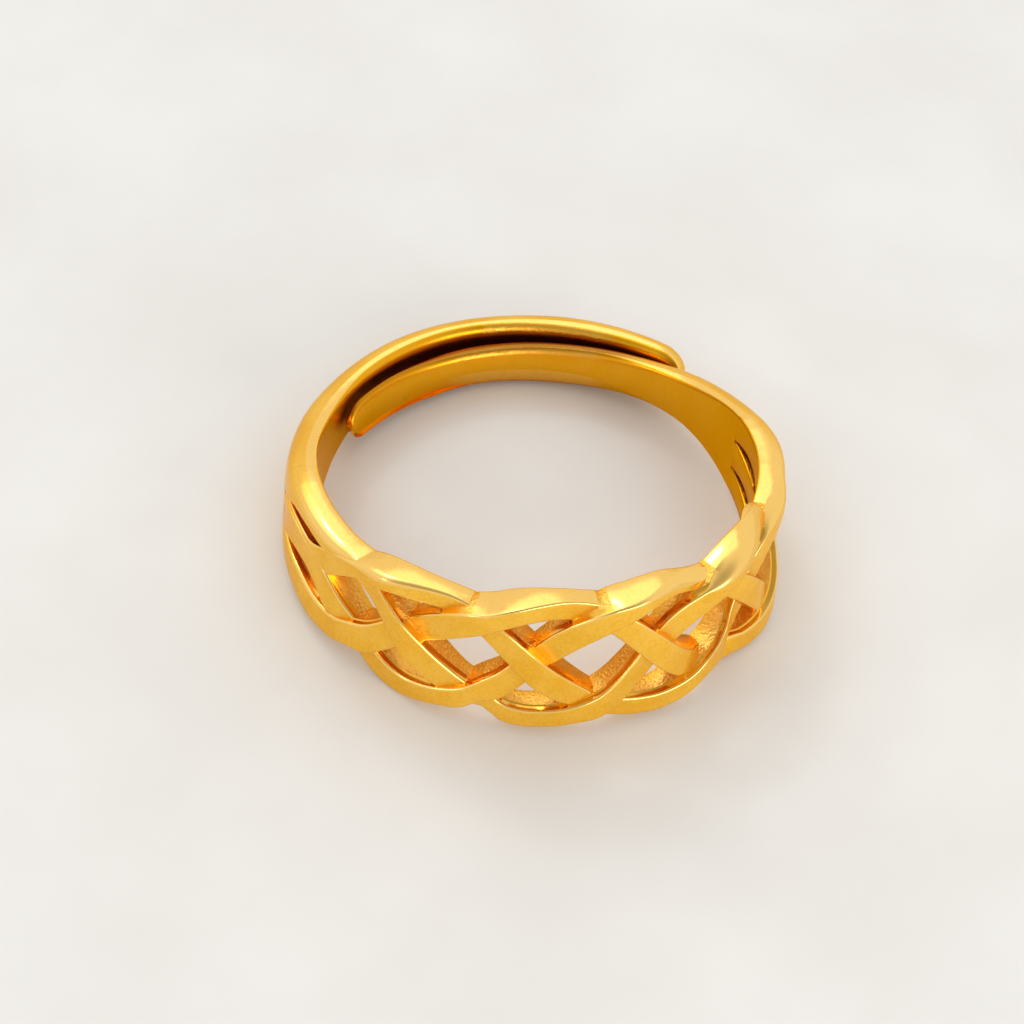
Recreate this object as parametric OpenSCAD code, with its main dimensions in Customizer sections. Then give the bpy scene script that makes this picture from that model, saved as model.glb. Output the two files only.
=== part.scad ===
// Braided band ring, open at the back, with two tails that pass each other.
// One casting: a four-strand openwork braid in front, shoulders where the
// strands run together, a plain shank, and an outer and an inner tail.
// The ring lies on its side as it rests by itself. The bore's centre is the
// origin, the braid faces -Y and the tails are at +Y. The braid is wider than
// the shank, so the ring rests on two lobes of the braid and on its tails,
// leaning back by a few degrees.
// Millimetres and degrees. Angles are measured around the bore from the middle
// of the braid, positive to the right.

/* [Finger] */
// Diameter of the finger bore
bore_d = 17.3; // [15.5:0.1:20]

/* [Braid] */
// Height of the braid over its middle lobes
braid_h = 6.3; // [5.8:0.1:7]
// Width of a strand where it crosses the middle of the band
strand_w = 1.2; // [1:0.05:1.3]
// Width of a strand where it turns back along the band's edge
edge_w = 0.85; // [0.7:0.05:1]
// Mean thickness of a strand, from the bore outwards
strand_t = 1.12; // [0.9:0.02:1.4]
// How far a strand rises over, and sinks under, that thickness as it crosses
weave_rise = 0.22; // [0.1:0.01:0.3]

/* [Shank] */
// Height of the plain shank at the back
shank_h = 2; // [1.8:0.1:2.4]
// Thickness of the shank at its shoulders
shank_t = 1.2; // [1:0.05:1.4]

/* [Tails] */
// Thickness of a tail
tail_t = 1.05; // [0.9:0.05:1.2]
// Gap between the two tails at the back
tail_gap = 0.3; // [0.25:0.05:0.5]
// How far the tails sit below the middle of the band
tail_drop = 0.2; // [0:0.05:0.3]
// Angle over which the tails pass each other
overlap = 99; // [60:1:102]

/* [Hidden] */

bore_r = bore_d / 2;
half_h = braid_h / 2;
// angle from one column of crossings to the next
column = 30;
// the last crossings of the weave lie this far from the middle
weave_end = 75;
// the braid runs into the shank at this angle
shoulder = 97;
// step of the braid's sections and of the shank's
braid_step = 3;
shank_step = 4;

// Half-height of the band: [angle, share of the braid's, share of the shank's]
HEIGHTS = [
    [  0, 1.00, 0.00],
    [ 15, 1.00, 0.00],
    [ 45, 0.93, 0.00],
    [ 62, 0.80, 0.12],
    [ 78, 0.63, 0.40],
    [ 95, 0.42, 0.85],
    [105, 0.30, 0.93],
    [114, 0.18, 0.98],
    [124, 0.10, 0.99],
    [140, 0.03, 1.00],
    [180, 0.00, 1.00],
    [240, 0.00, 0.92]
];

// How far the left side has left the bore on its way to the outer tail:
// [angle, share of a tail's thickness and the gap]
SPIRAL = [
    [ 40, 0.00],
    [ 60, 0.03],
    [ 80, 0.13],
    [100, 0.20],
    [120, 0.25],
    [132, 0.39],
    [145, 0.59],
    [158, 0.77],
    [170, 0.93],
    [180, 1.00],
    [200, 0.98],
    [215, 0.98],
    [232, 1.00]
];

// The casting is not quite even: [angle, share of the height above the middle,
// share below it, how far the slots and holes sit above their even place]
EDGES = [
    [-125, 1.00, 1.00, 0.00],
    [-108, 1.00, 1.06, 0.00],
    [ -90, 0.97, 1.10, 0.15],
    [ -72, 0.87, 1.08, 0.22],
    [ -61, 0.90, 0.97, 0.25],
    [ -49, 0.95, 1.13, 0.10],
    [ -38, 0.91, 1.02, 0.00],
    [ -28, 0.93, 0.93, 0.00],
    [ -16, 1.02, 1.05, 0.00],
    [   2, 1.07, 1.05, 0.00],
    [  16, 1.05, 1.05, 0.00],
    [  29, 0.94, 0.88, 0.00],
    [  38, 0.99, 1.08, 0.00],
    [  48, 1.01, 1.08, 0.00],
    [  62, 0.98, 1.09, 0.00],
    [  80, 1.00, 1.00, 0.00],
    [ 100, 1.00, 0.88, 0.00],
    [ 120, 0.98, 0.64, 0.00],
    [ 135, 0.97, 0.68, 0.00],
    [ 148, 0.94, 0.88, 0.00],
    [ 160, 0.86, 1.03, 0.00],
    [ 185, 0.80, 1.06, 0.00]
];

// [angle, extra thickness, how far the outside flares out at the lower edge]
FLARE = [
    [-231, 0.27, 0.00],
    [-215, 0.38, 0.00],
    [-200, 0.38, 0.00],
    [-180, 0.25, 0.00],
    [-170, 0.27, 0.00],
    [-158, 0.34, 0.00],
    [-146, 0.26, 0.00],
    [-132, 0.13, 0.00],
    [-125, 0.13, 0.00],
    [-110, 0.08, 0.12],
    [ -96, 0.13, 0.30],
    [ -80, 0.06, 0.42],
    [ -65, 0.00, 0.22],
    [ -52, 0.00, 0.00],
    [  46, 0.00, 0.00],
    [  57, -0.11, 0.22],
    [  66, -0.25, 0.36],
    [  76, 0.00, 0.18],
    [  88, 0.17, 0.06],
    [ 104, 0.06, 0.00],
    [ 120, 0.14, 0.00],
    [ 135, 0.05, 0.00],
    [ 150, 0.00, 0.00]
];

function smooth(x) = let (c = min(1, max(0, x))) c * c * (3 - 2 * c);
function column_of(t, a, col) = lookup(a, [for (row = t) [row[0], row[col]]]);
// a table read between its rows, with its corners rounded off
function table(t, a, col) =
    (column_of(t, a - 5, col) + 2 * column_of(t, a, col) + column_of(t, a + 5, col)) / 4;

// half-height of the band at an angle
function band(a) =
    let (b = abs(a))
    half_h * table(HEIGHTS, b, 1) + shank_h / 2 * table(HEIGHTS, b, 2);

// radius of the band's inner face at an angle
function inner(a) =
    bore_r + (a < 0 ? (tail_t + tail_gap) * table(SPIRAL, -a, 1) : 0);

// ---- strands -------------------------------------------------------------
// The weave stops at its last crossings: past them two strands stay together
// in the middle, one stays on top and one below.
function woven(a) =
    let (b = abs(a), e = weave_end)
    sign(a) * (b < e - 10 ? b : e - 10 + 10 * sin(min(90, (b - e + 10) * 90 / 16)));
function phase(a, i) = 180 / (2 * column) * (woven(a) - column * (i + 0.5));

// a strand's course between the band's edges, a little flatter than a cosine
// where it turns, and its width, square to its run, which is least there
function course(p) = 0.55 * cos(p) + 0.45 * sin(90 * cos(p));
function width(a, i) =
    let (w = strand_w - (strand_w - edge_w) * pow(cos(phase(a, i)), 2))
    w + (min(strand_w, band(a) / 1.5) - w) * smooth((abs(a) - 62) / 22);
function strand_mid(a, i) =
    (band(a) - (edge_w + (min(strand_w, band(a) / 1.5) - edge_w) * smooth((abs(a) - 62) / 22)) / 2)
    * course(phase(a, i));
function half_width(a, i) =
    let (slope = (strand_mid(a + 0.5, i) - strand_mid(a - 0.5, i))
                 / ((bore_r + strand_t) * PI / 180))
    width(a, i) / 2 * sqrt(1 + slope * slope * 0.8);

// over and under: each strand passes over one crossing and under the next. The
// crossings are shallower along the lower edge and towards the left shoulder.
function weave(a, i) =
    let (
        p = phase(a, i),
        c = course(p),
        low = 0.7 - 0.6 * smooth((a - 14) / 12),
        share = (1.2 + (c > 0 ? -0.05 : low) * c)
            * (1 - 0.75 * min(1, max(0, 1.5 * c)) * smooth((-a - 48) / 12)),
        fade = a > 0 ? 1 - smooth((a - 68) / 16) : 1 - smooth((-a - 60) / 14)
    )
    -weave_rise * share * fade * (0.207 * sin(p) + 1.207 * sin(3 * p));

// extra thickness of the outside, which grows towards the lower edge
function flare(a, z) =
    table(FLARE, a, 1) + table(FLARE, a, 2) * smooth((a > 0 ? 0.45 : 0) - z / band(a));

// of the two strands that stay together in the middle, the one beneath ends
// inside the other
function beneath(a, i) = (i == 3 && a > 0) || (i == 2 && a < 0) ? smooth((abs(a) - 70) / 10) : 0;

// a strand's section, in radius and height
function strand_section(a, i) =
    let (
        // the strand's ends are tucked into the shank
        tuck = smooth((abs(a) - shoulder - 1) / 4) + beneath(a, i),
        z = strand_mid(a, i),
        // strands widen before the shank, so that the slots end in points
        w = half_width(a, i) * (1 - 0.08 * tuck) + 0.19 * smooth((abs(a) - 79) / 16),
        r = inner(a) + strand_t + weave(a, i) - 0.08 * tuck,
        // the part that the bore is cut from
        q = inner(a) - 0.3 * (1 - smooth((-a - 40) / 20)) - 0.012 * i + 0.08 * tuck,
        top = min(z + w, band(a) * (1 - 0.05 * tuck)),
        low = max(z - w, -band(a) * (1 - 0.05 * tuck)),
        c = 0.16,
        // near the shoulders the band's outside is domed
        dome = 0.45 * smooth((abs(a) - 80) / 20),
        t = strand_t * dome,
        f = function (y) r + flare(a, y) - t * pow(abs(y) / band(a), 4)
    )
    [
        [q, low], [f(low) - 0.1, low], [f(low + c), low + c],
        [f(top - c), top - c], [f(top) - 0.1, top], [q, top]
    ];

// ---- shank ---------------------------------------------------------------
// A D: flat inside, with rounded edges, and domed outside. The dome is full at
// the shoulders and round at the tails. Towards a tail's end the section
// shrinks to a rounded tip.
ARC = [-90, -68, -45, -22, 0, 22, 45, 68, 90];
// angles at which the tails end
outer_end = -(181 + overlap / 2);
inner_end = 180 + overlap / 2;

function to_tip(a) = (a < 0 ? a - outer_end : inner_end - a) * (bore_r + 1) * PI / 180;
function tip(a) =
    let (d = max(0, to_tip(a)), l = shank_h * 0.6)
    d >= l ? 1 : sqrt(1 - pow(1 - d / l, 2));

function shank_section(a) =
    let (
        b = abs(a),
        k = smooth((b - shoulder) / 60),
        h = band(a) * (0.12 + 0.88 * tip(a)),
        // a tail is thinner towards its end, the inner one more so
        thin = a > 0 ? 1 - 0.5 * smooth((b - 180) / 40) : 1 - 0.2 * smooth((b - 195) / 35),
        t = (shank_t + (tail_t - shank_t) * k) * thin * (0.5 + 0.5 * tip(a)),
        // shape of the dome: high is square, 1 is an ellipse
        n = 0.45 + 0.45 * k,
        f = (0.06 + 0.24 * k) * (0.2 + 0.8 * tip(a)),
        r = inner(a),
        q = (a > 0 ? r - 0.3 : r),
        // the inner edge is rounded before the bore is cut
        e = [r + f * 0.5, r]
    )
    concat(
        [[q, h - f], [q, -h + f]],
        [[e[0], -h + f * 0.15]],
        [for (u = ARC) if (abs(u) < 90)
            let (y = h * sign(u) * pow(abs(sin(u)), n < 0.9 ? 0.8 : 1))
            [r + f * 0.8 + (t - f * 0.8 + flare(a, y) * tip(a)) * pow(cos(u), n), y]],
        [[e[0], h - f * 0.15]]
    );

// ---- sweeping ------------------------------------------------------------
// A closed solid through sections that stand around the bore. Each section is
// a loop of [radius, height], all with the same number of points.
function sag(a) = -tail_drop * smooth((abs(a) - 80) / 60);
// a height in the even band, moved to its place in the real one
function uneven(a, z) =
    z * table(EDGES, a, z > 0 ? 1 : 2) + table(EDGES, a, 3) * max(0, 1 - pow(z / band(a), 2)) + sag(a);
function place(a, p) = [p[0] * sin(a), -p[0] * cos(a), uneven(a, p[1])];

module sweep(angles, sections) {
    n = len(sections[0]);
    m = len(angles);
    points = [for (j = [0:m - 1]) for (p = sections[j]) place(angles[j], p)];
    sides = [for (j = [0:m - 2]) for (k = [0:n - 1])
        let (k2 = (k + 1) % n, a = j * n + k, b = j * n + k2, c = a + n, d = b + n)
        each [[a, b, c], [b, d, c]]];
    ends = [[for (k = [n - 1:-1:0]) k], [for (k = [0:n - 1]) (m - 1) * n + k]];
    polyhedron(points = points, faces = concat(sides, ends), convexity = 12);
}

function steps(a, b, s) = let (n = ceil(abs(b - a) / s)) [for (j = [0:n]) a + (b - a) * j / n];

module strand(i) {
    // the strands' sections stand between each other, not at the same angles
    angles = [for (a = steps(-shoulder - 5, shoulder + 5, braid_step)) a + (i - 1.5) * braid_step / 4];
    sweep(angles, [for (a = angles) strand_section(a, i)]);
}

module shank(side) {
    far = side > 0 ? inner_end : -outer_end;
    // closer sections where the tip rounds off
    b = concat(steps(shoulder, far - 8, shank_step), [far - 5, far - 3, far - 1.5, far - 0.5, far]);
    angles = side > 0 ? b : [for (j = [len(b) - 1:-1:0]) -b[j]];
    sweep(angles, [for (a = angles) shank_section(a)]);
}

// ---- resting -------------------------------------------------------------
// The ring rests on the two lower lobes at 45 degrees, which reach this share of
// half the braid's height, and on its tails. The lobes stand lower than the
// tails, so the ring leans by this much.
lobe = 1.03;
lean = atan((lobe * half_h - shank_h / 2 - tail_drop)
            / ((bore_r + strand_t) * cos(45) + bore_r + tail_gap + tail_t + 0.36));

module braided_band()
    color("goldenrod")
    rotate([-lean, 0, 0])
    difference() {
        resize([0, 0, 0]) union() {
            for (i = [0:3]) strand(i);
            shank(1);
            shank(-1);
        }
        // the finger bore
        cylinder(r = bore_r, h = 2 * braid_h, center = true, $fn = 180);
    }

braided_band();
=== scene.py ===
import math

import bpy
import numpy as np
from mathutils import Matrix, Vector


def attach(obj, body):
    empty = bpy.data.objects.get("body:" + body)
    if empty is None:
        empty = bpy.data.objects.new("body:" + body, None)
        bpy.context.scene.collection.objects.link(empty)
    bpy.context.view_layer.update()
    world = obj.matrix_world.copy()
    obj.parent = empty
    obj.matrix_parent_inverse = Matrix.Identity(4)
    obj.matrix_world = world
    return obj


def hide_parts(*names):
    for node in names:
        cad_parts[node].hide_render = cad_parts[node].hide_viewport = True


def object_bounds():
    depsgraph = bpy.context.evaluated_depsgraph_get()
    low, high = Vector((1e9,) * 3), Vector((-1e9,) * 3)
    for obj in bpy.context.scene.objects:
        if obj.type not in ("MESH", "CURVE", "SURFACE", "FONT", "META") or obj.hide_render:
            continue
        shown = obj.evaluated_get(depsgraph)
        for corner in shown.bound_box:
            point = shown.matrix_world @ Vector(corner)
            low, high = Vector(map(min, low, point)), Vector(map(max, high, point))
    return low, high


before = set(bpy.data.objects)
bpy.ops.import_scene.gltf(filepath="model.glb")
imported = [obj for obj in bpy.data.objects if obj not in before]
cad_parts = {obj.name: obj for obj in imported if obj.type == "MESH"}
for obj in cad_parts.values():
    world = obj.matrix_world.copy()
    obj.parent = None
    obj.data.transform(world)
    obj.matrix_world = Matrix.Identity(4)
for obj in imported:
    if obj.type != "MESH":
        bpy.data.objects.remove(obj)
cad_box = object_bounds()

# ==== shape: begin ==========================================================
# Millimetres and degrees, in the ring's own frame: the bore's axis is Z, the
# braid's middle faces -Y, and angles run from there to the right. The same
# names and values as the construction, with finer sections.
BORE_R = 17.3 / 2
HALF_H = 6.3 / 2
STRAND_W = 1.2
EDGE_W = 0.85
STRAND_T = 1.12
WEAVE_RISE = 0.22
SHANK_H = 2.0
SHANK_T = 1.2
TAIL_T = 1.05
TAIL_GAP = 0.3
TAIL_DROP = 0.2
OVERLAP = 99.0
COLUMN = 30.0
WEAVE_END = 75.0
SHOULDER = 97.0

# half-height of the band: angle, share of the braid's, share of the shank's
HEIGHTS = np.array([
    [0, 1.00, 0.00], [15, 1.00, 0.00], [45, 0.93, 0.00], [62, 0.80, 0.12],
    [78, 0.63, 0.40], [95, 0.42, 0.85], [105, 0.30, 0.93], [114, 0.18, 0.98],
    [124, 0.10, 0.99], [140, 0.03, 1.00], [180, 0.00, 1.00], [240, 0.00, 0.92],
])
# how far the left side has left the bore: angle, share of tail and gap
SPIRAL = np.array([
    [40, 0.00], [60, 0.03], [80, 0.13], [100, 0.20], [120, 0.25], [132, 0.39],
    [145, 0.59], [158, 0.77], [170, 0.93], [180, 1.00], [200, 0.98],
    [215, 0.98], [232, 1.00],
])


# the casting isn't quite even: angle, share of the height above and below the
# middle, how far the slots and holes sit above their even place
EDGES = np.array([
    [-125, 1.00, 1.00, 0.00], [-110, 1.00, 1.05, 0.00], [-90, 0.97, 1.12, 0.15],
    [-76, 0.90, 1.10, 0.18], [-68, 0.85, 1.03, 0.24], [-61, 0.90, 0.93, 0.25],
    [-56, 0.96, 1.17, 0.20], [-51, 0.95, 1.19, 0.12], [-46, 0.93, 1.15, 0.06],
    [-40, 0.91, 1.05, 0.00], [-35, 0.92, 1.00, 0.00], [-30, 0.94, 1.02, 0.00],
    [-26, 0.93, 0.88, 0.00], [-22, 0.98, 1.08, 0.00], [-17, 1.01, 1.07, 0.00],
    [-12, 1.02, 1.02, 0.00], [-4, 1.04, 1.00, 0.00], [2, 1.08, 1.10, 0.00],
    [7, 1.05, 1.08, 0.00], [12, 1.045, 1.065, 0.00], [17, 1.04, 1.075, 0.00],
    [22, 0.97, 1.00, 0.00], [28, 0.94, 0.86, 0.00], [31, 0.96, 0.93, 0.00],
    [35, 0.98, 1.11, 0.00], [41, 1.01, 1.05, 0.00], [45, 1.01, 1.11, 0.00],
    [50, 1.00, 1.13, 0.00], [60, 0.98, 1.10, 0.00], [80, 1.00, 1.00, 0.00],
    [100, 1.00, 0.88, 0.00], [110, 1.00, 0.76, 0.00], [122, 0.98, 0.62, 0.00],
    [132, 0.97, 0.66, 0.00], [145, 0.93, 0.88, 0.00], [160, 0.80, 1.03, 0.00],
    [182, 0.72, 1.06, 0.00], [196, 0.72, 1.06, 0.00], [210, 0.84, 1.06, 0.00],
])
# angle, extra thickness, and how far the outside flares out at the lower edge
FLARE = np.array([
    [-231, 0.34, 0.00], [-222, 0.42, 0.00], [-212, 0.45, 0.00], [-200, 0.39, 0.00],
    [-190, 0.30, 0.00], [-180, 0.25, 0.00], [-170, 0.27, 0.00], [-158, 0.34, 0.00],
    [-146, 0.26, 0.00], [-132, 0.13, 0.00], [-125, 0.13, 0.00], [-110, 0.08, 0.12], [-98, 0.14, 0.28],
    [-88, 0.10, 0.40], [-75, 0.04, 0.40], [-65, 0.00, 0.22], [-57, 0.00, 0.05],
    [-48, 0.00, 0.00], [45, 0.00, 0.00], [52, -0.04, 0.12], [57, -0.12, 0.22],
    [62, -0.25, 0.39], [66, -0.17, 0.28], [70, -0.06, 0.18], [75, 0.05, 0.09], [82, 0.17, 0.11],
    [90, 0.21, 0.05], [98, 0.11, 0.00], [106, 0.06, 0.00], [120, 0.20, 0.00],
    [135, 0.05, 0.00],
    [150, 0.00, 0.00], [230, 0.00, 0.00],
])


# where single strands leave the even course: angle, rise of the upper edge,
# rise of the lower edge, in mm
TRIMS = (
    np.array([[-104, 0, -0.20], [-96, 0, -0.35], [-91, 0, -0.20], [-87, 0, 0], [2, 0, 0],
              [10, 0, 0.15], [16, 0, 0.28], [23, 0, 0.20], [30, 0, 0.05], [36, 0, 0], [72, 0, 0],
              [80, -0.05, 0], [88, -0.04, 0], [92, 0.02, 0], [95, 0.08, 0], [99, 0.19, 0],
              [104, 0.20, 0]]),
    np.array([[-104, 0, 0], [-98, 0, -0.25], [-93, 0, -0.15], [-88, 0, 0.26], [-79, 0, 0.34],
              [-75, 0, 0.15], [-72, 0, -0.15], [-66, 0, 0], [72, 0, 0], [80, -0.05, 0.05],
              [88, -0.04, 0.04], [92, 0.02, -0.02], [95, 0.08, -0.08], [99, 0.19, -0.19],
              [104, 0.20, -0.20]]),
    np.array([[-104, 0, -0.20], [-96, 0.15, -0.35], [-91, 0.15, -0.20], [-87, 0.14, 0], [-80, 0.14, 0],
              [-77, 0.20, 0], [-73, 0.36, 0], [-68, 0.26, 0.08], [-60, 0, 0.18], [-52, 0, 0.16],
              [-43, 0, 0], [-12, 0, 0], [-4, 0, 0.15], [4, 0, 0.15], [10, 0, 0], [72, 0, 0],
              [80, 0, 0.05], [88, 0, 0.04], [92, 0, -0.02], [95, 0, -0.08], [99, 0, -0.19],
              [104, 0, -0.20]]),
    np.array([[-104, 0.10, 0], [-96, 0.15, 0], [-91, 0.10, 0], [-87, 0, 0], [-72, 0, 0],
              [-64, 0.08, 0], [-59, 0.18, 0.04], [-54, 0.26, 0.26], [-49, 0.20, 0.28],
              [-42, 0, 0.05], [-36, 0, -0.18], [-29, 0, -0.18], [-22, 0, 0]]),
)
# the upper outer corner: angle, its size along the height, and along the radius
CORNERS = np.array([
    [-120, 0.42, 0.55], [-95, 0.42, 0.55], [-75, 0.45, 0.50], [-62, 0.50, 0.50],
    [-54, 0.34, 0.34], [-46, 0.20, 0.22], [-36, 0.12, 0.14], [-28, 0.09, 0.10],
    [2, 0.09, 0.10], [8, 0.14, 0.20], [14, 0.24, 0.34], [21, 0.34, 0.50], [28, 0.42, 0.72],
    [36, 0.48, 0.84], [44, 0.50, 0.88], [52, 0.50, 0.88], [60, 0.42, 0.80], [68, 0.32, 0.55],
    [76, 0.30, 0.42], [84, 0.34, 0.40], [98, 0.42, 0.50], [120, 0.42, 0.55],
])


def smooth(x):
    c = np.clip(x, 0.0, 1.0)
    return c * c * (3 - 2 * c)


def table(t, a, col, blur=5.0):
    a = np.asarray(a, float)
    look = lambda x: np.interp(x, t[:, 0], t[:, col])
    return (look(a - blur) + 2 * look(a) + look(a + blur)) / 4


def band(a):
    b = np.abs(a)
    return HALF_H * table(HEIGHTS, b, 1) + SHANK_H / 2 * table(HEIGHTS, b, 2)


def inner(a):
    a = np.asarray(a, float)
    out = (TAIL_T + TAIL_GAP) * table(SPIRAL, -a, 1)
    return BORE_R + np.where(a < 0, out, 0.0)


def woven(a):
    b = np.abs(a)
    e = WEAVE_END
    past = e - 10 + 10 * np.sin(np.radians(np.minimum(90, (b - e + 10) * 90 / 16)))
    return np.sign(a) * np.where(b < e - 10, b, past)


def phase(a, i):
    return 180 / (2 * COLUMN) * (woven(a) - COLUMN * (i + 0.5))


def course(p):
    c = np.cos(np.radians(p))
    return 0.55 * c + 0.45 * np.sin(np.radians(90 * c))


def end_width(a):
    return np.minimum(STRAND_W, band(a) / 1.5)


def width(a, i):
    w = STRAND_W - (STRAND_W - EDGE_W) * np.cos(np.radians(phase(a, i))) ** 2
    return w + (end_width(a) - w) * smooth((np.abs(a) - 62) / 22)


def strand_mid(a, i):
    e = EDGE_W + (end_width(a) - EDGE_W) * smooth((np.abs(a) - 62) / 22)
    return (band(a) - e / 2) * course(phase(a, i))


def half_width(a, i):
    slope = (strand_mid(a + 0.5, i) - strand_mid(a - 0.5, i)) / (
        (BORE_R + STRAND_T) * math.pi / 180)
    return width(a, i) / 2 * np.sqrt(1 + slope * slope * 0.8)


def weave(a, i):
    p = np.radians(phase(a, i))
    c = course(phase(a, i))
    share = 1.2 + np.where(c > 0, -0.05, 0.70 - 0.60 * smooth((a - 14) / 12)) * c
    # the upper crossing at the left shoulder is nearly flush
    share = share * (1 - 0.75 * np.clip(c * 1.5, 0, 1) * smooth((-a - 48) / 12))
    fade = np.where(a > 0, 1 - smooth((a - 61) / 17), 1 - smooth((-a - 60) / 14))
    return -WEAVE_RISE * share * fade * (0.207 * np.sin(p) + 1.207 * np.sin(3 * p))


def dive(a, i, z):
    """On the right a strand sinks further before it passes under another one at the
    bottom, and keeps its lower edge where it is."""
    c = course(phase(a, i))
    p = np.radians(phase(a, i))
    under = np.clip(0.207 * np.sin(p) + 1.207 * np.sin(3 * p), 0, 1.3)
    deep = 0.26 * under * np.clip(-1.6 * c, 0, 1) * smooth((a - 14) / 12) * (1 - smooth((a - 70) / 14))
    return deep[:, None] * smooth((z / band(a)[:, None] + 1.0) / 0.45)


def flare(a, z):
    """Extra thickness: even, and growing towards the lower edge."""
    return table(FLARE, a, 1) + table(FLARE, a, 2) * smooth(np.where(a > 0, 0.45, 0) - z / band(a))


def sag(a):
    return -TAIL_DROP * smooth((np.abs(a) - 80) / 60)


def crown(a, z):
    """How far the outside falls back from its middle towards the band's edges."""
    k = smooth((np.abs(a) - 66) / 34)
    x = np.clip(np.abs(z) / band(a), 0, 1)
    return 0.30 * k * x ** 2.5


def section(a, low, top, q, face, outer, inward, ledge, n_outer, n_inner, n_face, crease=0.0,
            roof=0.0):
    """Closed loops of (radius, height), one for each angle in a.
    face(a, z) is the outside's radius. outer and inward hold the corners' sizes
    along z and along the radius, for the low and the top edge: (z0, r0, z1, r1).
    ledge is how far the inner part of each side stands out, (low, top).
    crease is the angle at which the inward corners leave the inner face's round, roof
    the one at which the top's outer corner begins."""
    a = a[:, None]
    begin = np.broadcast_to(np.radians(roof), a[:, 0].shape)[:, None]
    start = np.broadcast_to(np.radians(crease), a[:, 0].shape)[:, None]
    loops = []
    flip = lambda s: s[:, ::-1]
    for side, at in ((0, low), (1, top)):
        at = at[:, None]
        s = 1.0 if side == 0 else -1.0
        oz, orr = outer[2 * side][:, None], outer[2 * side + 1][:, None]
        iz, ir = inward[2 * side][:, None], inward[2 * side + 1][:, None]
        led = ledge[side][:, None]
        t = start + np.linspace(0, 1, n_inner)[None, :] * (math.pi / 2 - start)
        zi = at - s * led + s * iz * (1 - np.sin(t)) / (1 - np.sin(start))
        ri = q[:, None] + ir * (np.cos(start) - np.cos(t)) / np.cos(start)
        rise = face(a, at + s * oz) - q[:, None]
        step = q[:, None] + np.maximum(rise - 0.30, ir + 0.05)
        zs = np.concatenate([at - s * led, at - s * led * 0.15], 1)
        rs = np.concatenate([step - 0.03, step + 0.03], 1)
        t0 = begin * side
        t = t0 + np.linspace(0, 1, n_outer)[None, :] * (math.pi / 2 - t0)
        zo = at + s * oz * (np.cos(t0) - np.cos(t)) / np.cos(t0)
        ro = face(a, zo) - orr * (1 - np.sin(t)) / (1 - np.sin(t0))
        z = np.concatenate([zi, zs, zo], 1)
        r = np.concatenate([ri, np.minimum(rs, ro[:, :1] - 0.004), ro], 1)
        loops.append((r, z))
    z_a = loops[0][1][:, -1:]
    z_b = loops[1][1][:, -1:]
    t = (np.arange(1, n_face + 1) / (n_face + 1))[None, :]
    zf = z_a + (z_b - z_a) * t
    rf = face(a, zf)
    r = np.concatenate([loops[0][0], rf, flip(loops[1][0])], 1)
    z = np.concatenate([loops[0][1], zf, flip(loops[1][1])], 1)
    return np.stack([r, z], 2)


# what a face of the mesh is
INSIDE, INSIDE_EDGE, HOLE_IN, HOLE_OUT, CORNER, OUTSIDE, RIM_LOW, RIM_TOP, END = range(9)


def labels_of(n_outer, n_inner, n_face, rim_low, rim_top):
    """The label of each face of a tube: one row for each step along it.
    rim_low and rim_top say where a side is the band's own edge."""
    rows = []
    for low, top in zip(rim_low, rim_top):
        side = []
        for rim, name in ((low, RIM_LOW), (top, RIM_TOP)):
            side.append([INSIDE_EDGE] * (n_inner - 1)
                        + [name if rim else HOLE_IN]
                        + [name if rim else HOLE_OUT] * 2
                        + [CORNER] * (n_outer - 1))
        rows.append(side[0] + [OUTSIDE] * (n_face + 1) + side[1][::-1] + [INSIDE])
    return rows


def sweep(a, loops, labels):
    """Vertices, faces and labels of a closed tube through the loops at the angles a."""
    m, n, _ = loops.shape
    t = np.radians(a)[:, None]
    r, z = loops[..., 0], loops[..., 1]
    above, below, lift = (table(EDGES, a, c, 2.0)[:, None] for c in (1, 2, 3))
    inside_edges = np.clip(1 - (z / band(a)[:, None]) ** 2, 0, 1)
    z = z * np.where(z > 0, above, below) + lift * inside_edges + sag(a)[:, None]
    v = np.stack([r * np.sin(t), -r * np.cos(t), z], 2).reshape(-1, 3)
    j, k = np.meshgrid(np.arange(m - 1), np.arange(n), indexing="ij")
    k2 = (k + 1) % n
    f = np.stack([j * n + k, j * n + k2, (j + 1) * n + k2, (j + 1) * n + k], 2)
    faces = f.reshape(-1, 4)[:, ::-1].tolist()
    faces.append(list(range(n)))
    faces.append([(m - 1) * n + q for q in range(n)][::-1])
    flat = [x for row in labels for x in row]
    assert len(flat) == (m - 1) * n
    return v, faces, flat + [END, END]


def shoulder_t(a):
    """Thickness where the strands run into the shank: the left side is thicker."""
    return np.where(np.asarray(a) < 0, SHANK_T, STRAND_T)


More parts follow.
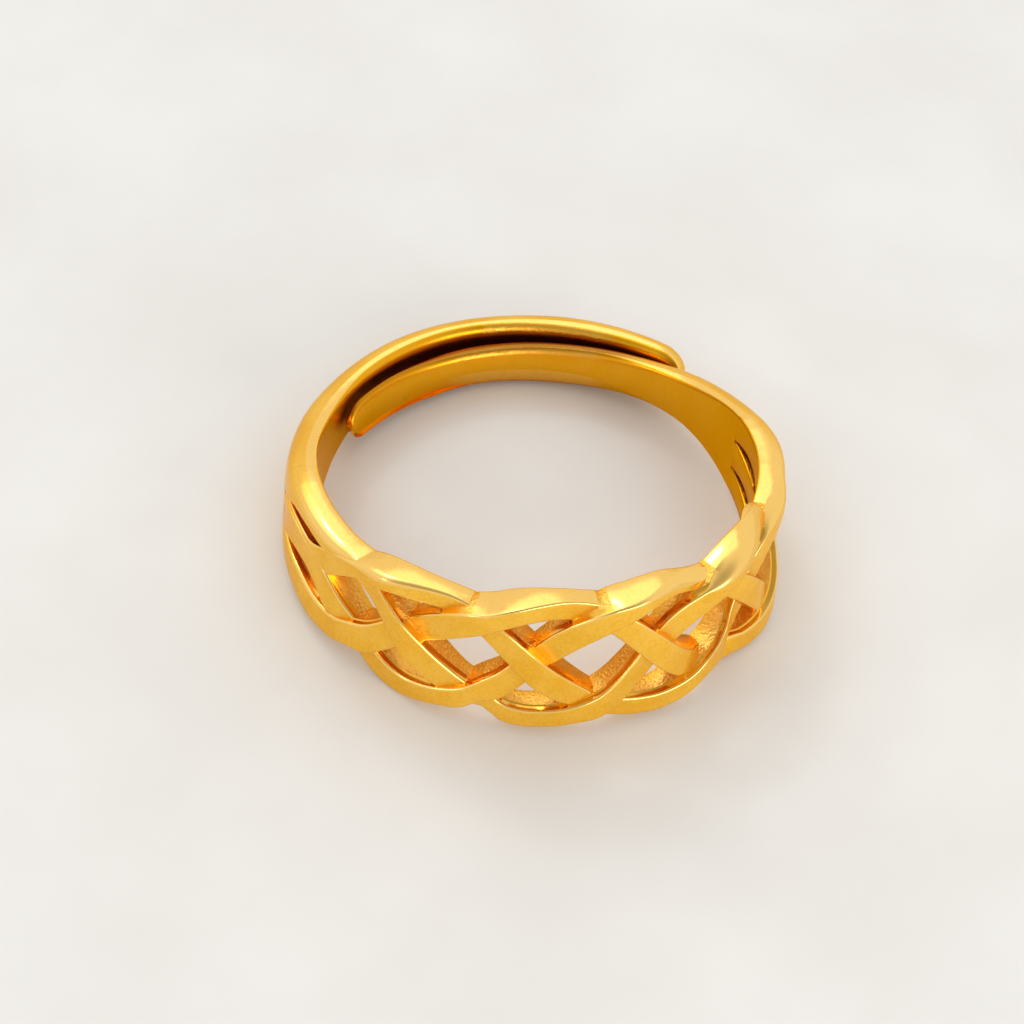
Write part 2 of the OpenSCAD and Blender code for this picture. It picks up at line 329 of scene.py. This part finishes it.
def strand(i, step=0.5):
    end = SHOULDER + 5.3
    n = int(round(2 * end / step))
    a = np.linspace(-end, end, n + 1) + (i - 1.5) * step / 4
    b = np.abs(a)
    h = band(a)
    mid, w = strand_mid(a, i), half_width(a, i)
    tuck = smooth((b - SHOULDER - 0.2) / 1.5)
    under = np.where((a > 0) if i == 3 else (a < 0), smooth((b - 76) / 10), 0.0) if i in (2, 3) else 0 * a
    w = w * (1 - 0.06 * under) - 0.03 * tuck
    trim = TRIMS[i]
    top = np.minimum(mid + w + table(trim, a, 1, 3.0), h - 0.03 * tuck)
    low = np.maximum(mid - w + table(trim, a, 2, 3.0), -h + 0.03 * tuck)
    base = inner(a) + STRAND_T + (shoulder_t(a) - STRAND_T) * smooth((b - 80) / 16)
    rise = weave(a, i) - 0.06 * under - 0.03 * tuck

    def face(aa, z):
        return (base + rise)[:, None] + flare(aa, z) - crown(aa, z) - dive(aa[:, 0], i, z)

    # edges of a strand are crisp; where they are the band's own edges they
    # round off towards the shoulders
    k = smooth((b - 60) / 34)
    wide = smooth((a - 20) / 12)
    edge_t = smooth((0.45 + 0.6 * wide - (h - top)) / (0.4 + 0.5 * wide))
    edge_l = smooth((0.25 - (h + low)) / 0.25)
    oz = lambda e: 0.09 + 0.33 * k * e
    orr = lambda e: 0.10 + 0.45 * k * e
    oz_t = 0.09 + (table(CORNERS, a, 1) - 0.09) * edge_t
    orr_t = 0.10 + (table(CORNERS, a, 2) - 0.10) * edge_t
    oz_t = np.minimum(oz_t, (top - low) * 0.6)
    free_t = 1 - smooth((0.55 - (h - top)) / 0.4)
    free_l = 1 - smooth((0.55 - (h + low)) / 0.4)
    out = 1 - smooth((b - 70) / 14)
    q = inner(a) + 0.0025 * i + 0.03 * tuck + 0.02 * under
    one = np.ones_like(a)
    loops = section(
        a, low, top, q, face,
        (oz(edge_l), orr(edge_l), oz_t, orr_t),
        (0.08 * one, 0.08 * one, 0.08 * one, 0.08 * one),
        (0.05 * free_l * out, 0.05 * free_t * out), 6, 3, 5)
    return sweep(a, loops, labels_of(6, 3, 5, free_l[:-1] < 0.5, free_t[:-1] < 0.5))


def tail_end(side):
    """Angle at which a tail ends; the outer one reaches a little further."""
    return 180 + OVERLAP / 2 + (0 if side > 0 else 1.3)


def to_tip(a, side):
    return (tail_end(side) - np.abs(a)) * (BORE_R + 1) * math.pi / 180


def shank(side, step=0.8):
    end = tail_end(side)
    n = int(round((end - 8 - SHOULDER) / step))
    b = np.concatenate([np.linspace(SHOULDER, end - 8, n + 1),
                        end - np.array([7.2, 6.4, 5.6, 4.8, 4, 3.2, 2.5, 1.9, 1.4, 1, 0.6, 0.35, 0.18,
                                        0.08, 0.02])])
    a = b if side > 0 else -b[::-1]
    b = np.abs(a)
    d = np.maximum(0, to_tip(a, side))
    l = SHANK_H * 0.6
    tip = np.where(d >= l, 1.0, np.sqrt(np.maximum(0.0, 1 - (1 - np.minimum(d, l) / l) ** 2)))
    k = smooth((b - SHOULDER) / 60)
    h = band(a) * (0.06 + 0.94 * tip)
    thin = 1 - 0.5 * smooth((b - 180) / 40) if side > 0 else 1 - 0.2 * smooth((b - 195) / 35)
    bulge = 0.10 * np.exp(-((a + 128) / 16) ** 2)
    blunt = 0.5 if side > 0 else 0.3
    t = (shoulder_t(a) + (TAIL_T - shoulder_t(a)) * k + bulge) * thin * (blunt + (1 - blunt) * tip)
    q = inner(a)

    def face(aa, z):
        x = np.clip(np.abs(z) / h[:, None], 0, 1)
        c0 = crown(aa, z)
        c1 = 0.10 * x ** 2.5
        full = (0.3 + 0.7 * tip)[:, None]
        return (q + t)[:, None] + full * flare(aa, z) - (c0 + (c1 - c0) * k[:, None])

    # outside corners grow until the tails are half round
    oz = np.minimum(0.42 + 0.40 * k, h * 0.96)
    orr = np.minimum(0.55 + 0.20 * k, t * 0.86)
    f = (0.08 + 0.22 * k) * (0.3 + 0.7 * tip)
    if side > 0:
        # the inner tail's flat face lies between slopes, the lower one the broader
        slope = smooth((b - 122) / 34)
        broad = slope * (1 - smooth((b - 184) / 24))
        f_low = f + 0.42 * broad * tip
        fr_low = f_low * (0.7 - 0.38 * broad)
        f = f * (1 + 0.10 * slope)
        fr = f * (0.6 + 0.08 * slope)
        oz_t = oz
        orr_t = np.maximum(np.minimum(orr, t - fr - 0.10), t * 0.3)
    else:
        # the outer tail's inner edges are well rounded
        slope = 0 * a
        soft = smooth((b - 128) / 20) * tip
        f = f + 0.18 * soft
        fr = f * 0.6
        f_low, fr_low, oz_t, orr_t = f, fr, oz, np.minimum(orr, t * 0.72)
    loops = section(a, -h, h, q, face, (oz, orr, oz_t, orr_t), (f_low, fr_low, f, fr),
                    (0 * a, 0 * a), 10, 6, 5, 50 * slope, 8 * slope)
    return sweep(a, loops, labels_of(10, 6, 5, 0 * a[:-1] < 1, 0 * a[:-1] < 1))


def pieces():
    return [strand(i) for i in range(4)] + [shank(1), shank(-1)]


# the lean at rest, as in the construction: on two lower lobes and the tails
LOBE = 1.03
LEAN = math.degrees(math.atan(
    (LOBE * HALF_H - SHANK_H / 2 - TAIL_DROP)
    / ((BORE_R + STRAND_T) * math.cos(math.radians(45)) + BORE_R + TAIL_GAP + TAIL_T + 0.36)))
# ==== shape: end ============================================================


# ---- one mesh --------------------------------------------------------------
scene = bpy.context.scene
collection = scene.collection
LABELS = 9
marks = [bpy.data.materials.new("mark_%d" % k) for k in range(LABELS)]


def as_object(name, v, faces, labels):
    mesh = bpy.data.meshes.new(name)
    mesh.from_pydata(v.tolist(), [], faces)
    for mark in marks:
        mesh.materials.append(mark)
    mesh.polygons.foreach_set("material_index", np.array(labels, np.int32))
    mesh.update()
    ob = bpy.data.objects.new(name, mesh)
    collection.objects.link(ob)
    return ob


def union(objects):
    """The meshes joined into one closed surface, with no faces left inside it."""
    group = bpy.data.collections.new("joined")
    for o in objects[1:]:
        group.objects.link(o)
    first = objects[0]
    mod = first.modifiers.new("union", "BOOLEAN")
    mod.operation = "UNION"
    mod.solver = "MANIFOLD"
    mod.operand_type = "COLLECTION"
    mod.collection = group
    bpy.context.view_layer.update()
    graph = bpy.context.evaluated_depsgraph_get()
    mesh = bpy.data.meshes.new_from_object(first.evaluated_get(graph))
    for o in objects:
        old = o.data
        bpy.data.objects.remove(o)
        bpy.data.meshes.remove(old)
    bpy.data.collections.remove(group)
    return mesh


tubes = [as_object("tube_%d" % k, *t) for k, t in enumerate(pieces())]
mesh = union(tubes)
mesh.name = "braided_band_finish"

count = len(mesh.vertices)
co = np.empty(count * 3, np.float32)
mesh.vertices.foreach_get("co", co)
co = co.reshape(-1, 3).astype(float)
n_poly = len(mesh.polygons)
label = np.empty(n_poly, np.int32)
mesh.polygons.foreach_get("material_index", label)
start = np.empty(n_poly, np.int32)
total = np.empty(n_poly, np.int32)
mesh.polygons.foreach_get("loop_start", start)
mesh.polygons.foreach_get("loop_total", total)
corner_vertex = np.empty(len(mesh.loops), np.int32)
mesh.loops.foreach_get("vertex_index", corner_vertex)
corner_face = np.repeat(np.arange(n_poly), total)
print("mesh", count, "vertices", n_poly, "faces", int((total - 2).sum()), "triangles",
      "labels", np.bincount(label, minlength=LABELS).tolist())

# ---- what the surface is like and where shade is painted, corner by corner ---
at = co[corner_vertex]
angle = np.degrees(np.arctan2(at[:, 0], -at[:, 1]))
angle = np.where((angle < -128) & (np.hypot(at[:, 0], at[:, 1]) < inner(np.minimum(angle, 0)) - 0.05),
                 angle + 360, angle)
radius = np.hypot(at[:, 0], at[:, 1])
mark = label[corner_face]
depth = np.clip((inner(np.clip(angle, -240, 240)) + STRAND_T - radius) / STRAND_T, -0.3, 1.1)
far = np.abs(angle)
shoulder = smooth((far - 76) / 18)


def field(name, values):
    made = mesh.attributes.new(name, "FLOAT", "CORNER")
    made.data.foreach_set("value", np.ascontiguousarray(values, np.float32))


satin = (mark == OUTSIDE) * (1 - shoulder)
rim = ((mark == RIM_TOP) | (mark == RIM_LOW)) * 1.0
# cast grain: in the holes, and where the inner tail's slopes were left unpolished
left_rough = (mark == INSIDE_EDGE) * smooth((angle - 146) / 6) * smooth((196 - angle) / 12)
grain = (mark == HOLE_IN) * 1.0 + left_rough * np.where(at[:, 2] < 0, 0.55, 0.40)
inside = ((mark == INSIDE) | (mark == INSIDE_EDGE)) * 1.0
edge = (mark == CORNER) * (1 - shoulder)
walls = ((mark == HOLE_IN) | (mark == HOLE_OUT)) * 1.0
# painted shade: the walls of the holes and slots are painted darker the deeper they lie below the outside
sunk_shade = np.clip(depth + 0.05, 0, 1) * walls
# painted shade, dark brown: on the two faces that look at each other between the tails
back = smooth((angle - 136) / 12) * (radius < 9.78)
gap = (((mark == INSIDE) | (mark == INSIDE_EDGE)) * smooth((radius - 9.10) / 0.35)
       * smooth((0.66 - at[:, 2]) / 0.34) * smooth((far - 126) / 7)
       # and the slots between the strands where they run into the shank
       + walls * 0.95 * smooth((angle - 68) / 10) * smooth((110 - angle) / 6)
       + (mark == INSIDE_EDGE) * 0.40 * smooth((angle - 72) / 10) * smooth((128 - angle) / 12)
       + (mark == INSIDE_EDGE) * back * (at[:, 2] > 0) * 0.62 * smooth((radius - BORE_R - 0.03) / 0.12)
       + ((mark == OUTSIDE) | (mark == CORNER) | (mark == RIM_TOP)) * back
       * (0.78 * smooth((radius - BORE_R - 0.10) / 0.10) + 0.22 * smooth((radius - 9.15) / 0.40))
       * smooth((at[:, 2] + 0.95) / 0.35))
field("gap", np.clip(gap, 0, 1))
field("satin", satin)
field("rim", rim)
field("grain", grain)
field("inside", inside)
field("edge", edge)
field("sunk_shade", sunk_shade)

mesh.materials.clear()
mesh.polygons.foreach_set("material_index", np.zeros(n_poly, np.int32))
for m in marks:
    bpy.data.materials.remove(m)
place = Matrix.Rotation(math.radians(-LEAN), 4, "X") @ Matrix.Scale(0.001, 4)
mesh.transform(place)
mesh.shade_smooth()
mesh.set_sharp_from_angle(angle=math.radians(32))
ring = bpy.data.objects.new("braided_band_finish", mesh)
collection.objects.link(ring)


# ---- material ----------------------------------------------------------------
class Nodes:
    """A few words for building a node tree."""

    def __init__(self, tree):
        self.tree = tree

    def add(self, kind, **sockets):
        node = self.tree.nodes.new(kind)
        return node

    def link(self, a, b):
        self.tree.links.new(a, b)

    def math(self, op, a, b=None, clamp=False):
        node = self.tree.nodes.new("ShaderNodeMath")
        node.operation = op
        node.use_clamp = clamp
        for k, x in enumerate((a, b)):
            if x is None:
                continue
            if isinstance(x, (int, float)):
                node.inputs[k].default_value = x
            else:
                self.link(x, node.inputs[k])
        return node.outputs[0]

    def mix(self, fac, a, b, kind="RGBA", blend="MIX"):
        node = self.tree.nodes.new("ShaderNodeMix")
        node.data_type = kind
        node.clamp_factor = True
        if kind == "RGBA":
            node.blend_type = blend
            ins = [node.inputs[0], node.inputs[6], node.inputs[7]]
            out = node.outputs[2]
        else:
            ins = [node.inputs[0], node.inputs[2], node.inputs[3]]
            out = node.outputs[0]
        for socket, x in zip(ins, (fac, a, b)):
            if isinstance(x, (int, float)):
                socket.default_value = x
            elif isinstance(x, tuple):
                socket.default_value = x if len(x) == 4 else (*x, 1.0)
            else:
                self.link(x, socket)
        return out

    def attribute(self, name):
        node = self.tree.nodes.new("ShaderNodeAttribute")
        node.attribute_name = name
        return node.outputs["Fac"]

    def noise(self, where, scale, detail=2.0, rough=0.5):
        node = self.tree.nodes.new("ShaderNodeTexNoise")
        node.inputs["Scale"].default_value = scale
        node.inputs["Detail"].default_value = detail
        node.inputs["Roughness"].default_value = rough
        self.link(where, node.inputs["Vector"])
        return node.outputs["Fac"]

    def ramp(self, x, low, high):
        """0 at low, 1 at high, smooth between."""
        node = self.tree.nodes.new("ShaderNodeMapRange")
        node.interpolation_type = "SMOOTHSTEP"
        node.inputs["From Min"].default_value = low
        node.inputs["From Max"].default_value = high
        self.link(x, node.inputs["Value"])
        return node.outputs["Result"]


def gold():
    mat = bpy.data.materials.new("plated_gold")
    mat.use_nodes = True
    tree = mat.node_tree
    tree.nodes.clear()
    n = Nodes(tree)
    out = tree.nodes.new("ShaderNodeOutputMaterial")
    shader = tree.nodes.new("ShaderNodeBsdfPrincipled")
    n.link(shader.outputs["BSDF"], out.inputs["Surface"])
    where = tree.nodes.new("ShaderNodeTexCoord").outputs["Object"]

    satin, grain, rim = n.attribute("satin"), n.attribute("grain"), n.attribute("rim")
    inside, edge, sunk_shade = n.attribute("inside"), n.attribute("edge"), n.attribute("sunk_shade")
    gap = n.attribute("gap")

    broad = n.noise(where, 260.0, 3.0, 0.55)
    middle = n.noise(where, 1500.0, 3.0, 0.6)
    grit = n.noise(where, 8200.0, 2.0, 0.6)
    fine = n.noise(where, 9000.0, 3.0, 0.65)

    # colour: yellow gold, deeper where it is satin, paler in patches and on the band's own edges; painted
    # shade on the inner faces, deep in the holes and between the tails, and a painted highlight on the
    # outer corners
    plain = n.mix(n.ramp(broad, 0.35, 0.7), (0.90, 0.46, 0.040), (0.96, 0.54, 0.075))
    matt = n.mix(n.ramp(broad, 0.35, 0.7), (0.92, 0.485, 0.022), (0.99, 0.56, 0.045))
    tone = n.mix(satin, plain, matt)
    tone = n.mix(rim, tone, (0.98, 0.60, 0.150))
    # painted shade: the inner faces are painted a darker, deeper orange
    tone = n.mix(inside, tone, (0.84, 0.385, 0.010))
    tone = n.mix(grain, tone, (0.95, 0.56, 0.110))
    # painted shade: deep in the holes the colour turns a darker orange
    tone = n.mix(n.math("MULTIPLY", sunk_shade, 0.70), tone, (0.76, 0.30, 0.012))
    spots = n.ramp(middle, 0.58, 0.74)
    tone = n.mix(n.math("MULTIPLY", spots, n.mix(satin, 0.12, 0.22, "FLOAT")), tone, (0.70, 0.32, 0.010))
    mottle = n.ramp(fine, 0.40, 0.62)
    tone = n.mix(n.math("MULTIPLY", mottle, n.mix(satin, 0.10, 0.22, "FLOAT")), tone, (0.58, 0.26, 0.008))
    cloud = n.ramp(n.noise(where, 820.0, 4.0, 0.62), 0.38, 0.64)
    tone = n.mix(n.math("MULTIPLY", cloud, n.mix(satin, 0.05, 0.26, "FLOAT")), tone, (1.0, 0.66, 0.12))
    # painted highlight: the outer corners are painted paler, standing in for the bright lines their
    # bevels catch
    tone = n.mix(n.math("MULTIPLY", edge, 0.7), tone, (1.0, 0.66, 0.20))
    # painted shade: dark brown between the tails and in the slots at the shoulders
    tone = n.mix(n.math("MULTIPLY", gap, 0.9), tone, (0.30, 0.075, 0.002))
    n.link(tone, shader.inputs["Base Color"])
    n.link(n.mix(satin, 1.0, 0.74, "FLOAT"), shader.inputs["Metallic"])
    n.link(n.mix(n.math("MAXIMUM", inside, sunk_shade), 0.30, 0.0, "FLOAT"), shader.inputs["Coat Weight"])
    shader.inputs["Specular Tint"].default_value = (1.0, 0.80, 0.42, 1.0)
    shader.inputs["Coat Roughness"].default_value = 0.18

    # roughness
    rough = n.mix(satin, 0.16, 0.42, "FLOAT")
    rough = n.mix(inside, rough, 0.30, "FLOAT")
    rough = n.mix(grain, rough, 0.34, "FLOAT")
    rough = n.mix(edge, rough, 0.16, "FLOAT")
    rough = n.math("ADD", rough, n.math("MULTIPLY", n.math("SUBTRACT", middle, 0.5), 0.14))
    n.link(rough, shader.inputs["Roughness"])

    # relief: hand polishing's broad waves, the satin's fine grain, cast grain in the holes
    waves = n.math("MULTIPLY", broad, 0.030)
    pits = n.math("MULTIPLY", n.math("MULTIPLY", grit, n.mix(grain, 0.03, 1.0, "FLOAT")), 0.044)
    skin = n.math("MULTIPLY", fine, n.mix(satin, 0.0005, 0.0060, "FLOAT"))
    height = n.math("ADD", n.math("ADD", waves, pits), skin)
    bump = tree.nodes.new("ShaderNodeBump")
    bump.inputs["Strength"].default_value = 1.0
    bump.inputs["Distance"].default_value = 0.001
    n.link(height, bump.inputs["Height"])
    n.link(bump.outputs["Normal"], shader.inputs["Normal"])
    return mat


mesh.materials.append(gold())
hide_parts("braided_band")
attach(ring, "root")

# ---- floor --------------------------------------------------------------------
low = cad_box[0][2]
lowest = min(v.co.z for v in mesh.vertices)
print("lowest point of the visual", round(lowest * 1000, 3), "of the CAD", round(low * 1000, 3))
floor_mesh = bpy.data.meshes.new("floor")
size = 0.9
floor_mesh.from_pydata([(-size, -size, 0), (size, -size, 0), (size, size, 0), (-size, size, 0)],
                       [], [(0, 1, 2, 3)])
floor = bpy.data.objects.new("floor", floor_mesh)
floor.location = (0, 0, min(low, lowest))
collection.objects.link(floor)


def pale():
    mat = bpy.data.materials.new("pale_floor")
    mat.use_nodes = True
    tree = mat.node_tree
    shader = tree.nodes["Principled BSDF"]
    n = Nodes(tree)
    where = tree.nodes.new("ShaderNodeTexCoord").outputs["Object"]
    patch = n.noise(where, 90.0, 3.0, 0.5)
    tone = n.mix(n.ramp(patch, 0.3, 0.7), (0.815, 0.80, 0.775), (0.865, 0.855, 0.835))
    n.link(tone, shader.inputs["Base Color"])
    shader.inputs["Roughness"].default_value = 0.7
    shader.inputs["Specular IOR Level"].default_value = 0.2
    return mat


floor_mesh.materials.append(pale())

# ---- light ----------------------------------------------------------------------
world = bpy.data.worlds.new("studio")
scene.world = world
world.use_nodes = True
tree = world.node_tree
tree.nodes.clear()
n = Nodes(tree)
sky = tree.nodes.new("ShaderNodeBackground")
w_out = tree.nodes.new("ShaderNodeOutputWorld")
n.link(sky.outputs[0], w_out.inputs[0])
# a bright room that is dim above its front side
toward = tree.nodes.new("ShaderNodeVectorMath")
toward.operation = "DOT_PRODUCT"
n.link(tree.nodes.new("ShaderNodeTexCoord").outputs["Generated"], toward.inputs[0])
toward.inputs[1].default_value = (-0.13, -0.43, 0.89)
dim = n.ramp(toward.outputs["Value"], 0.62, 0.93)
n.link(n.mix(dim, (1.0, 0.995, 0.98), (0.52, 0.51, 0.49)), sky.inputs["Color"])
sky.inputs["Strength"].default_value = 0.95


def lamp(name, at, aim, size_x, size_y, power, colour=(1, 1, 1)):
    data = bpy.data.lights.new(name, "AREA")
    data.shape = "RECTANGLE"
    data.size, data.size_y = size_x, size_y
    data.energy = power
    data.color = colour
    ob = bpy.data.objects.new(name, data)
    ob.location = at
    ob.rotation_euler = (Vector(aim) - Vector(at)).to_track_quat("-Z", "Y").to_euler()
    collection.objects.link(ob)
    return ob


lamp("key", (-0.08, 0.34, 0.36), (0, 0, 0), 0.50, 0.34, 0.34, (1.0, 0.99, 0.96))
lamp("spark", (-0.06, 0.24, 0.26), (0, 0, 0), 0.07, 0.05, 0.085, (1.0, 0.98, 0.95))
lamp("left", (-0.30, -0.02, 0.16), (0, 0, 0), 0.05, 0.07, 0.055, (1.0, 0.99, 0.97))
lamp("front", (0.12, -0.34, 0.10), (0, 0, 0), 0.34, 0.16, 0.55, (1.0, 0.99, 0.97))

# ---- camera ------------------------------------------------------------------------
# The photo's viewing angle, in the ring's own frame: azimuth, elevation, roll,
# distance in millimetres and focal length in pixels of a 1024 pixel picture.
AZ, EL, ROLL, DIST, FOCAL = -16.8304, 41.8217, 4.5828, 106.6587, 2633.2872
a, e, r = (math.radians(x) for x in (AZ, EL, ROLL))
back = Vector((math.sin(a) * math.cos(e), -math.cos(a) * math.cos(e), math.sin(e)))
right = (-back).cross(Vector((0, 0, 1))).normalized()
up = right.cross(-back)
right, up = math.cos(r) * right + math.sin(r) * up, math.cos(r) * up - math.sin(r) * right
turn = Matrix.Rotation(math.radians(-LEAN), 3, "X")
right, up, back = turn @ right, turn @ up, turn @ back
data = bpy.data.cameras.new("camera")
camera = bpy.data.objects.new("camera", data)
collection.objects.link(camera)
frame_axes = Matrix((right, up, back)).transposed().to_4x4()
camera.matrix_world = Matrix.Translation(back * DIST * 0.001) @ frame_axes
data.sensor_fit = "HORIZONTAL"
data.sensor_width = 36.0
data.lens = FOCAL * 36.0 / 1024.0
data.shift_x = -0.02564
data.shift_y = -0.01646
data.clip_start = 0.002
data.clip_end = 20.0
scene.camera = camera
scene.view_settings.view_transform = "Standard"
scene.view_settings.look = "None"
scene.view_settings.exposure = 0.0
scene.view_settings.gamma = 1.0
